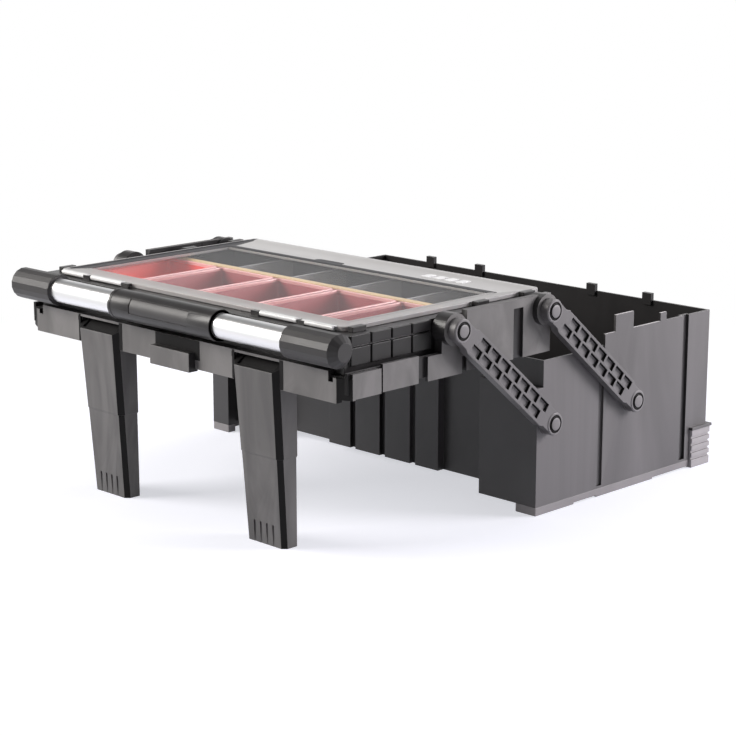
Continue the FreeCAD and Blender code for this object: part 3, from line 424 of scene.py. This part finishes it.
def make_leg(side):
    """A leg's sleeve and post, with painted shade on their chamfers and in the sleeve's hollow top."""
    low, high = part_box("leg_sleeve_" + side)
    middle = ((low[0] + high[0]) / 2, (low[1] + high[1]) / 2)
    sleeve = finished_copy("leg_sleeve_" + side, 0.8 * MM, LEG_GREY)
    post = finished_copy("leg_post_" + side, 0.9 * MM, LEG_GREY)

    def hollow(centre, normal, size):
        inward = normal.x * (centre.x - middle[0]) + normal.y * (centre.y - middle[1]) < 0
        return normal.z > ALONG or (abs(normal.z) < ALONG and inward)

    def chamfer(centre, normal, size):
        return is_diagonal(normal)

    # Painted shade on the chamfers and in the sleeve's hollow top.
    accent(sleeve, DARK, lambda *face: chamfer(*face) or hollow(*face))
    accent(post, DARK, chamfer)


def make_arm(row, side):
    """A cantilever arm, with painted shade on its edges and pocket walls, and painted light on its pocket
    floors.
    """
    node = "arm_" + row + "_" + side
    arm = finished_copy(node, 0.7 * MM, ARM_GREY)
    low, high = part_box(node)
    outer = max(abs(low[0]), abs(high[0]))
    deepest_pocket = 4.3 * MM
    pocket_floor = 3 * MM

    def edge(centre, normal, size):
        return abs(normal.x) < ALONG and size[0] > deepest_pocket

    def pocket_wall(centre, normal, size):
        return abs(normal.x) < ALONG and size[0] < deepest_pocket

    def floor(centre, normal, size):
        return abs(normal.x) > SQUARE and abs(centre.x) < outer - pocket_floor and normal.x * centre.x > 0

    # Painted shade on the arm's edges.
    accent(arm, CHARCOAL, edge)
    # Painted shade on the pocket walls.
    accent(arm, DARK, pocket_wall)
    # Painted light on the pocket floors.
    accent(arm, ARM_PAINTED_LIGHT, floor)


def make_tray():
    """The tray: its own light grey on the outer plates, and painted shade on the faces behind and under them
    and on its front corners.
    """
    low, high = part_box("carrier_tray")
    # Painted shade: the tray is black except where the plates below give it its own grey.
    tray = finished_copy("carrier_tray", 0.7 * MM, BLACK)
    front = low[1] + 9 * MM
    corner_depth = 14 * MM
    corner_x = 247 * MM
    catch_x = 50 * MM
    plate_x = high[0] - 8 * MM
    rim_width = 8 * MM
    level = 0.99

    def corner(centre, normal, size):
        return abs(centre.x) > corner_x and centre.y < low[1] + corner_depth

    def plate(centre, normal, size):
        if is_diagonal(normal) or corner(centre, normal, size):
            return False
        if normal.y < -TOWARDS:
            return centre.y < front and catch_x < abs(centre.x) < corner_x
        return normal.x * centre.x > 0 and abs(normal.x) > TOWARDS and abs(centre.x) > plate_x

    def top_edge(centre, normal, size):
        return normal.z > level and min(size[0], size[1]) < rim_width and not corner(centre, normal, size)

    # Painted shade on the tray's front corners.
    accent(tray, DARK, corner)
    accent(tray, TRAY_GREY, plate)
    accent(tray, CHARCOAL, top_edge)


def make_front_gap_shade():
    """Dark sheets of painted shade on the tray's front, for the gaps beside the legs and the recess over the
    catch.
    """
    tray_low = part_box("carrier_tray")[0]
    catch_low, catch_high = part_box("front_catch")
    y = (tray_low[1] - 0.4 * MM, tray_low[1] + 2 * MM)
    under = tray_low[2] + 0.5 * MM
    top = catch_high[2] - 0.4 * MM
    catch_drop = 22 * MM
    catch_shadow = 8 * MM
    left_gap = 3.5 * MM
    right_gap = 5.5 * MM
    spans = [(catch_low[0], catch_high[0] + catch_shadow, top - catch_drop)]
    for side in SIDES:
        low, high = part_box("leg_sleeve_" + side)
        spans += [(low[0] - left_gap, low[0], under), (high[0], high[0] + right_gap, under)]
    meshes = [block_mesh("gap", (x0, y[0], z), (x1, y[1], top)) for x0, x1, z in spans]
    # Painted shade: thin dark sheets standing where the gaps are.
    joined("tray_front_painted_shade", meshes, "tray", DARK, 0.1 * MM)


def make_catch():
    """The front catch, with a light face."""
    catch = finished_copy("front_catch", 0.7 * MM, BLACK)
    accent(catch, TRAY_GREY, lambda centre, normal, size: normal.y < -TOWARDS)


def make_dividers():
    """The clear dividers, with a painted highlight on their top edges."""
    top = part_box("clear_dividers")[1][2] - 1 * MM
    dividers = finished_copy("clear_dividers", 0.3 * MM, CLEAR_RIB)
    # Painted highlight on the dividers' top edges.
    accent(dividers, LIT, lambda centre, normal, size: normal.z > SQUARE and centre.z > top)


def make_strip():
    """The yellow strip, with a flat cap between the bins' rims and over the clear dividers."""
    finished_copy("divider_strip", 0.6 * MM)
    low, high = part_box("divider_strip")
    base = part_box("clear_dividers")[1][2] + 0.6 * MM
    overhang_front = 1 * MM
    overhang_rear = 4.5 * MM
    cap = block_mesh("cap", (low[0], low[1] - overhang_front, base),
                     (high[0], high[1] + overhang_rear, high[2] - 0.1 * MM))
    joined("divider_strip_cap", [cap], "tray", YELLOW, 0.4 * MM)


make_tub()
for side in SIDES:
    finished_copy("foot_rail_" + side, 0.6 * MM, FOOT_GREY)
    make_guard(side)
    make_leg(side)
    for row in ROWS:
        make_arm(row, side)
make_tray()
make_catch()
make_front_gap_shade()
finished_copy("organiser_case", 0.8 * MM)
finished_copy("lid_hinge_ears", 0.5 * MM)
finished_copy("lid_side_clips", 0.6 * MM)
make_dividers()
make_strip()


# Raised hub rings and domed pin heads at the arms' ends

LOWER_FRONT = joint_place("lift")
LOWER_REAR = joint_place("rear_right_arm_swing")
UPPER_FRONT = joint_place("tray_level")
REACH = UPPER_FRONT[1] - LOWER_FRONT[1]


def make_pivot(row, side, kind, place):
    """A raised ring in painted light on the arm's face round a place of (y, z), with painted shade in the
    seat for the pin's head in it.
    """
    sign = 1 if side == "right" else -1
    low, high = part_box("arm_" + row + "_" + side)
    face = high[0] if side == "right" else low[0]
    body = "arm_" + row + "_" + side
    seat, dip, crest, foot = 8.3 * MM, 10.2 * MM, 12 * MM, 12.8 * MM
    back, bottom, shoulder, top = -1 * MM, 0.1 * MM, 0.3 * MM, 0.9 * MM
    outline = [(back, seat), (bottom, seat), (bottom, dip), (top, dip + 0.3 * MM), (top, crest),
               (shoulder, foot), (back, foot)]
    profile = [(face + out * sign, radius) for out, radius in outline]
    ring = turned_mesh("hub", profile, place, steps=48, close_loop=True)
    hub = add_piece("hub_" + kind + "_" + body, ring, body, ARM_PAINTED_LIGHT)
    dark_to = dip + 0.2 * MM

    def seat_face(centre, normal, size):
        return math.hypot(centre.y - place[0], centre.z - place[1]) < dark_to

    # Painted shade in the seat round the pin's head.
    accent(hub, DARK, seat_face)
    smooth(hub)


def make_pin_heads(node, places):
    """The pins of one node, with shallow domed heads in painted light and painted shade on a ring round each
    dome.
    """
    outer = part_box(node)[1][0]
    shank, head, dome = 5 * MM, 8.2 * MM, 7.2 * MM
    length, thick, rim, crown = 22 * MM, 1.8 * MM, 0.9 * MM, 0.3 * MM
    outline = [(length, shank), (thick, shank), (thick, head), (rim, head), (crown, dome), (0, shank),
               (0, 0.2 * MM)]
    meshes = []
    for sign in (-1, 1):
        profile = [((outer - back) * sign, radius) for back, radius in outline]
        for place in places:
            meshes.append(turned_mesh("pin", profile, place, steps=40))
    piece = joined(node + "_finished", meshes, BODY_OF[node], ARM_PAINTED_LIGHT, 0.15 * MM)
    dark_to = outer - 0.5 * MM
    # Painted shade on every face below the dome's crown: the ring round each dome and the shank.
    accent(piece, DARK, lambda centre, normal, size: abs(centre.x) < dark_to)
    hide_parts(node)


LOWER_PLACES = [(lower[1], lower[2]) for lower in (LOWER_FRONT, LOWER_REAR)]
UPPER_PLACES = [(lower[1] + REACH, UPPER_FRONT[2]) for lower in (LOWER_FRONT, LOWER_REAR)]

for side in SIDES:
    for row, lower, upper in zip(ROWS, LOWER_PLACES, UPPER_PLACES):
        make_pivot(row, side, "lower", lower)
        make_pivot(row, side, "upper", upper)
make_pin_heads("lower_pivot_pins", LOWER_PLACES)
make_pin_heads("upper_pivot_pins", UPPER_PLACES)


# Front bar

def bar_axis():
    """The bar's axis as (y, z)."""
    low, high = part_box("bar_tube")
    return ((low[1] + high[1]) / 2, (low[2] + high[2]) / 2)


def make_tube():
    """The bar's metal tube, round and with broken edges at its ends."""
    low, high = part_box("bar_tube")
    radius = (high[2] - low[2]) / 2
    broken = 0.4 * MM
    inner = radius * 0.88
    profile = [(low[0], inner), (low[0], radius - broken), (low[0] + broken, radius),
               (high[0] - broken, radius), (high[0], radius - broken), (high[0], inner)]
    mesh = turned_mesh("bar_tube", profile, bar_axis(), steps=72)
    tube = add_piece("bar_tube_finished", mesh, "tray", METAL)
    smooth(tube)
    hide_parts("bar_tube")


def make_collars():
    """Raised collars at the grip's ends."""
    low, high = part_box("bar_grip")
    width = 5 * MM
    top = 17.8 * MM
    buried = 14.3 * MM
    broken = 0.5 * MM
    for end, start in (("left_end", low[0]), ("right_end", high[0] - width)):
        stop = start + width
        profile = [(start, buried), (start, top - broken), (start + broken, top), (stop - broken, top),
                   (stop, top - broken), (stop, buried)]
        mesh = turned_mesh("collar", profile, bar_axis(), steps=64, close_loop=True)
        collar = add_piece("grip_collar_" + end, mesh, "tray", BLACK)
        smooth(collar)


make_tube()
make_collars()
for side in SIDES:
    finished_copy("bar_end_cap_" + side, 0.7 * MM, CAP_BLACK, angle=CAP_ANGLE)
finished_copy("bar_grip", 0.7 * MM)
finished_copy("grip_inlay", 0.4 * MM)


# Dark wedges of painted shade close the legs just under their rims, so that their tops look filled and dark

def make_leg_shade_wedge(side):
    """A wedge of painted shade in the sleeve, from its front wall's top up to the socket behind."""
    node = "leg_sleeve_" + side
    low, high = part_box(node)
    side_wall = 9 * MM
    front = low[1] + 3.6 * MM
    front_wall = front - 2 * MM
    shoulder = high[1] - 17 * MM
    back = high[1] - 3 * MM
    front_top = max(v.co.z for v in frame["nodes"][node].data.vertices if v.co.y < front_wall) - 1 * MM
    top = high[2] - 0.5 * MM
    base = high[2] - 50 * MM
    profile = [(front + 6 * MM, base), (front, front_top), (shoulder, top), (back, top), (back, base)]
    ends = (low[0] + side_wall, high[0] - side_wall)
    shade_wedge = loft_mesh("shade_wedge", [[(x, y, z) for y, z in profile] for x in ends])
    joined("leg_painted_shade_" + side, [shade_wedge], "tray", DARK, 0.3 * MM)


for side in SIDES:
    make_leg_shade_wedge(side)


# Lid: a milky frame with a raised edge and inner step round the clear window

lid_low, lid_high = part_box("lid_frame")
window_low, window_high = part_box("lid_window")
LID_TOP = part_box("organiser_case")[1][2] + 5.5 * MM
LID_BASE = LID_TOP - 5 * MM
LID_FRONT = lid_low[1] + 7 * MM
KNUCKLE_SPANS = ((119 * MM, 177 * MM), (185 * MM, 232 * MM))


def lid_ring(step, z):
    """A level of the lid's frame: step 0 is its outer edge and step 1 the window's edge."""
    outer_radius, window_radius = 7 * MM, 3 * MM

    def between(outer, inner):
        return outer + (inner - outer) * step

    x = (between(lid_low[0], window_low[0]), between(lid_high[0], window_high[0]))
    y = (between(LID_FRONT, window_low[1]), between(lid_high[1], window_high[1]))
    return rounded_level(x, y, outer_radius * (1 - step) + window_radius * step, z)


def make_knuckles():
    """Strips with a painted highlight at the lid's front edge, round the hinge's axis, between and beside
    the ears.
    """
    axis = joint_place("lid_hinge")[1:]
    bore, radius = 1.6 * MM, 3 * MM
    for inner, outer in KNUCKLE_SPANS:
        for side, sign in zip(SIDES, (-1, 1)):
            start, stop = sorted((sign * inner, sign * outer))
            profile = [(start, bore), (start, radius), (stop, radius), (stop, bore)]
            knuckle = turned_mesh("knuckle", profile, axis, steps=20)
            web = block_mesh("web", (start, axis[0], LID_BASE + 1 * MM), (stop, LID_FRONT + 2 * MM, LID_TOP))
            name = "lid_knuckle_" + side + "_" + str(round(inner / MM))
            # Painted highlight on the knuckles and their webs.
            joined(name, [knuckle, web], "lid", LIT, 0.35 * MM)


def make_lid_frame():
    """The lid's border, pale at the rear, with painted shade where it looks dark beside the window and along
    its left.
    """
    top, base = LID_TOP, LID_BASE
    flat, inner = top - 1.3 * MM, top - 0.4 * MM
    levels = [(0, base), (0, top - 0.8 * MM), (0.02, top), (0.14, top), (0.2, flat), (0.8, flat),
              (0.86, inner), (0.97, inner), (1, top - 1.2 * MM), (1, base + 1 * MM), (0.96, base),
              (0.5, base)]
    ring = loft_mesh("lid_ring", [lid_ring(step, z) for step, z in levels], close_loop=True)
    piece = joined("lid_frame_finished", [ring], "lid", MILKY, 0.35 * MM)
    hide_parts("lid_frame")
    upper = top - 3 * MM
    left_from, left_to = lid_low[0] + 3 * MM, window_low[0] + 1 * MM
    left_front = LID_FRONT + 25 * MM
    shade_end = window_high[1] + 14 * MM
    upward = 0.2

    def seen(centre, normal):
        return normal.z >= upward and centre.z >= upper

    def rear_border(centre, normal, size):
        return seen(centre, normal) and centre.y > shade_end

    def shaded(centre, normal, size):
        left = left_from < centre.x < left_to and centre.y > left_front
        return seen(centre, normal) and (left or window_high[1] < centre.y < shade_end)

    accent(piece, MILKY_PALE, rear_border)
    # Painted shade along the left of the border and behind the window.
    accent(piece, SHADED_MILKY, shaded)


def make_rib_blocks():
    """A row of small raised blocks with a painted highlight on the lid's rear border, where fingers lift it.
    """
    start, pitch, width = 94 * MM, 18 * MM, 12 * MM
    y = (window_high[1] + 24 * MM, window_high[1] + 40 * MM)
    z = (LID_TOP - 1.5 * MM, LID_TOP - 0.6 * MM)
    places = [start + pitch * column for column in range(4)]
    meshes = [block_mesh("block", (x, y[0], z[0]), (x + width, y[1], z[1])) for x in places]
    # Painted highlight on the rib blocks.
    joined("lid_rib_blocks", meshes, "lid", LIT, 0.4 * MM)


def make_thumb_recess():
    """A dark oval on the lid's rear border: painted shade in its shallow recess."""
    x = (-76 * MM, -28 * MM)
    y = (window_high[1] + 9 * MM, window_high[1] + 21 * MM)
    radius = 5.9 * MM
    levels = [rounded_level(x, y, radius, LID_TOP - drop) for drop in (2 * MM, 1.1 * MM)]
    oval = loft_mesh("oval", levels)
    # Painted shade in the thumb recess.
    joined("lid_thumb_recess", [oval], "lid", SHADED_MILKY, 0.2 * MM)


make_knuckles()
make_lid_frame()
frame["nodes"]["lid_window"].data.materials.clear()
frame["nodes"]["lid_window"].data.materials.append(CLEAR)
make_rib_blocks()
make_thumb_recess()


# Bins with tapered walls and a double rim, and a lining under the rear compartments

def make_bin(number):
    """A bin's body, which stands for the CAD node, and its rim: a low flange in painted shade and a raised
    lip.
    """
    node = "red_bin_" + str(number)
    low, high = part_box(node)
    wall, lip, taper = 1.8 * MM, 3.2 * MM, 3 * MM
    mouth = lip + wall
    foot = high[2] - 4 * MM
    flange = high[2] - 1.3 * MM

    def ring(inset, z, radius):
        return rounded_level((low[0] + inset, high[0] - inset), (low[1] + inset, high[1] - inset), radius, z)

    shell = [ring(lip + taper, low[2], 4 * MM), ring(lip, foot, 5 * MM), ring(mouth, foot, 4 * MM),
             ring(mouth + taper, low[2] + wall, 3 * MM)]
    colour = BRIGHT_RED if number == 1 else RED
    body = add_piece(node + "_finished", loft_mesh(node, shell), "tray", colour)
    round_edges(body, 0.4 * MM)
    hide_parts(node)
    rim = [ring(0, foot, 6 * MM), ring(0, flange, 6 * MM), ring(lip - 0.6 * MM, flange, 5 * MM),
           ring(lip - 0.2 * MM, high[2], 5 * MM), ring(mouth - 0.3 * MM, high[2], 4 * MM),
           ring(mouth, high[2] - 0.5 * MM, 4 * MM), ring(mouth, foot, 4 * MM)]
    edge_mesh = loft_mesh(node + "_rim", rim, close_loop=True)
    edge = add_piece(node + "_rim", edge_mesh, "tray", PINK)
    flange_top = flange + 0.3 * MM
    # Painted shade on the low flange, between the bin's lip and its neighbour's.
    accent(edge, RED_SHADE, lambda centre, normal, size: normal.z > TOWARDS and centre.z < flange_top)
    round_edges(edge, 0.25 * MM)


def make_lining():
    """A dark sheet on the floor of the rear compartments."""
    low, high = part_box("clear_dividers")
    strip_low, strip_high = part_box("divider_strip")
    corner = (strip_low[0] + 1 * MM, strip_high[1] + 0.5 * MM, low[2] + 0.2 * MM)
    opposite = (strip_high[0] - 1 * MM, high[1] - 0.5 * MM, low[2] + 1.2 * MM)
    lining = block_mesh("lining", corner, opposite)
    joined("rear_lining", [lining], "tray", LINING, 0.3 * MM)


for number in range(1, 6):
    make_bin(number)
make_lining()


# Room: white floor, soft light and the camera at the photograph's angle

def seen_directly(nodes, links):
    """One for camera, glossy and transmission rays, which show the white room, and zero for the rest."""
    ray = add_node(nodes, "LightPath")
    total = ray.outputs["Is Camera Ray"]
    for name in ("Is Glossy Ray", "Is Transmission Ray"):
        either = add_node(nodes, "Math")
        either.operation = "MAXIMUM"
        links.new(total, either.inputs[0])
        links.new(ray.outputs[name], either.inputs[1])
        total = either.outputs["Value"]
    return total


def floor_material():
    """A pale grey-blue floor that keeps a shadow near the object and is plain white further out."""
    near, far = 0.45, 1.1
    material = new_material("white_floor", (0.56, 0.565, 0.62), 0.9, Specular_IOR_Level=0.0)
    nodes, links = material.node_tree.nodes, material.node_tree.links
    place = add_node(nodes, "TexCoord")
    away = add_node(nodes, "VectorMath")
    away.operation = "LENGTH"
    blend = add_node(nodes, "MapRange", From_Min=near, From_Max=far)
    blend.interpolation_type = "SMOOTHSTEP"
    near_white = add_node(nodes, "Emission", Color=(0.94, 0.95, 1, 1), Strength=0.62)
    far_white = add_node(nodes, "Emission")
    lit = add_node(nodes, "AddShader")
    spread = add_node(nodes, "MixShader")
    seen = add_node(nodes, "MixShader")
    shader = nodes["Principled BSDF"]
    links.new(place.outputs["Object"], away.inputs[0])
    links.new(away.outputs["Value"], blend.inputs["Value"])
    links.new(shader.outputs["BSDF"], lit.inputs[0])
    links.new(near_white.outputs["Emission"], lit.inputs[1])
    links.new(blend.outputs["Result"], spread.inputs["Fac"])
    links.new(lit.outputs["Shader"], spread.inputs[1])
    links.new(far_white.outputs["Emission"], spread.inputs[2])
    links.new(seen_directly(nodes, links), seen.inputs["Fac"])
    links.new(shader.outputs["BSDF"], seen.inputs[1])
    links.new(spread.outputs["Shader"], seen.inputs[2])
    links.new(seen.outputs["Shader"], nodes["Material Output"].inputs["Surface"])
    return material


def make_floor():
    """A wide flat floor."""
    reach = 40
    corners = [(-reach, -reach, 0), (reach, -reach, 0), (reach, reach, 0), (-reach, reach, 0)]
    mesh = mesh_from("floor", corners, [(0, 1, 2, 3)])
    floor = bpy.data.objects.new("floor", mesh)
    bpy.context.scene.collection.objects.link(floor)
    mesh.materials.append(floor_material())


def make_world():
    """Low soft fill, and a white room that is darker overhead in reflections."""
    fill, overhead = 0.12, 0.16
    world = bpy.data.worlds.new("studio")
    world.use_nodes = True
    nodes, links = world.node_tree.nodes, world.node_tree.links
    background = nodes["Background"]
    background.inputs["Color"].default_value = (1, 1, 1, 1)
    place = add_node(nodes, "TexCoord")
    parts = add_node(nodes, "SeparateXYZ")
    ceiling = add_node(nodes, "MapRange", From_Min=0.25, From_Max=0.6, To_Min=1, To_Max=overhead)
    reflected = add_node(nodes, "MapRange", To_Min=fill)
    ray = add_node(nodes, "LightPath")
    level = add_node(nodes, "MapRange", To_Max=1)
    links.new(place.outputs["Generated"], parts.inputs["Vector"])
    links.new(parts.outputs["Z"], ceiling.inputs["Value"])
    links.new(seen_directly(nodes, links), reflected.inputs["Value"])
    links.new(ceiling.outputs["Result"], reflected.inputs["To Max"])
    links.new(ray.outputs["Is Camera Ray"], level.inputs["Value"])
    links.new(reflected.outputs["Result"], level.inputs["To Min"])
    links.new(level.outputs["Result"], background.inputs["Strength"])
    bpy.context.scene.world = world


def make_area_light(name, place, target, size, power, colour=(1, 1, 1)):
    """A soft rectangular lamp that faces a target."""
    data = bpy.data.lights.new(name, "AREA")
    data.color = colour
    data.shape = "RECTANGLE"
    data.size, data.size_y = size
    data.energy = power
    light = bpy.data.objects.new(name, data)
    light.location = place
    light.rotation_euler = (Vector(target) - Vector(place)).to_track_quat("-Z", "Y").to_euler()
    bpy.context.scene.collection.objects.link(light)


def make_camera():
    """The photograph's camera, set from the front of the tub's foot."""
    below_level, turn = 13.04, 44.98
    tub_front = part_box("foot_rail_right")[0][1]
    data = bpy.data.cameras.new("camera")
    data.sensor_width = 36
    data.lens = 99.25
    camera = bpy.data.objects.new("camera", data)
    camera.location = (1.713, tub_front - 1.704, 0.6881)
    camera.rotation_euler = (math.radians(90 - below_level), 0, math.radians(turn))
    bpy.context.scene.collection.objects.link(camera)
    bpy.context.scene.camera = camera


make_floor()
make_world()
make_area_light("top_softbox", place=(-0.3, 0.7, 2.4), target=(0, 0, 0.1), size=(2.4, 2.4), power=26)
make_area_light("front_left_softbox", place=(-1.6, -1.7, 1.35), target=(0, -0.1, 0.15), size=(1.4, 1.1),
                power=66, colour=(1, 0.97, 0.93))
make_area_light("rear_right_softbox", place=(1.8, 1.8, 1.0), target=(0.2, 0.1, 0.15), size=(1.3, 1.1),
                power=68, colour=(1, 0.965, 0.99))
make_camera()
bpy.context.scene.view_settings.view_transform = "Standard"
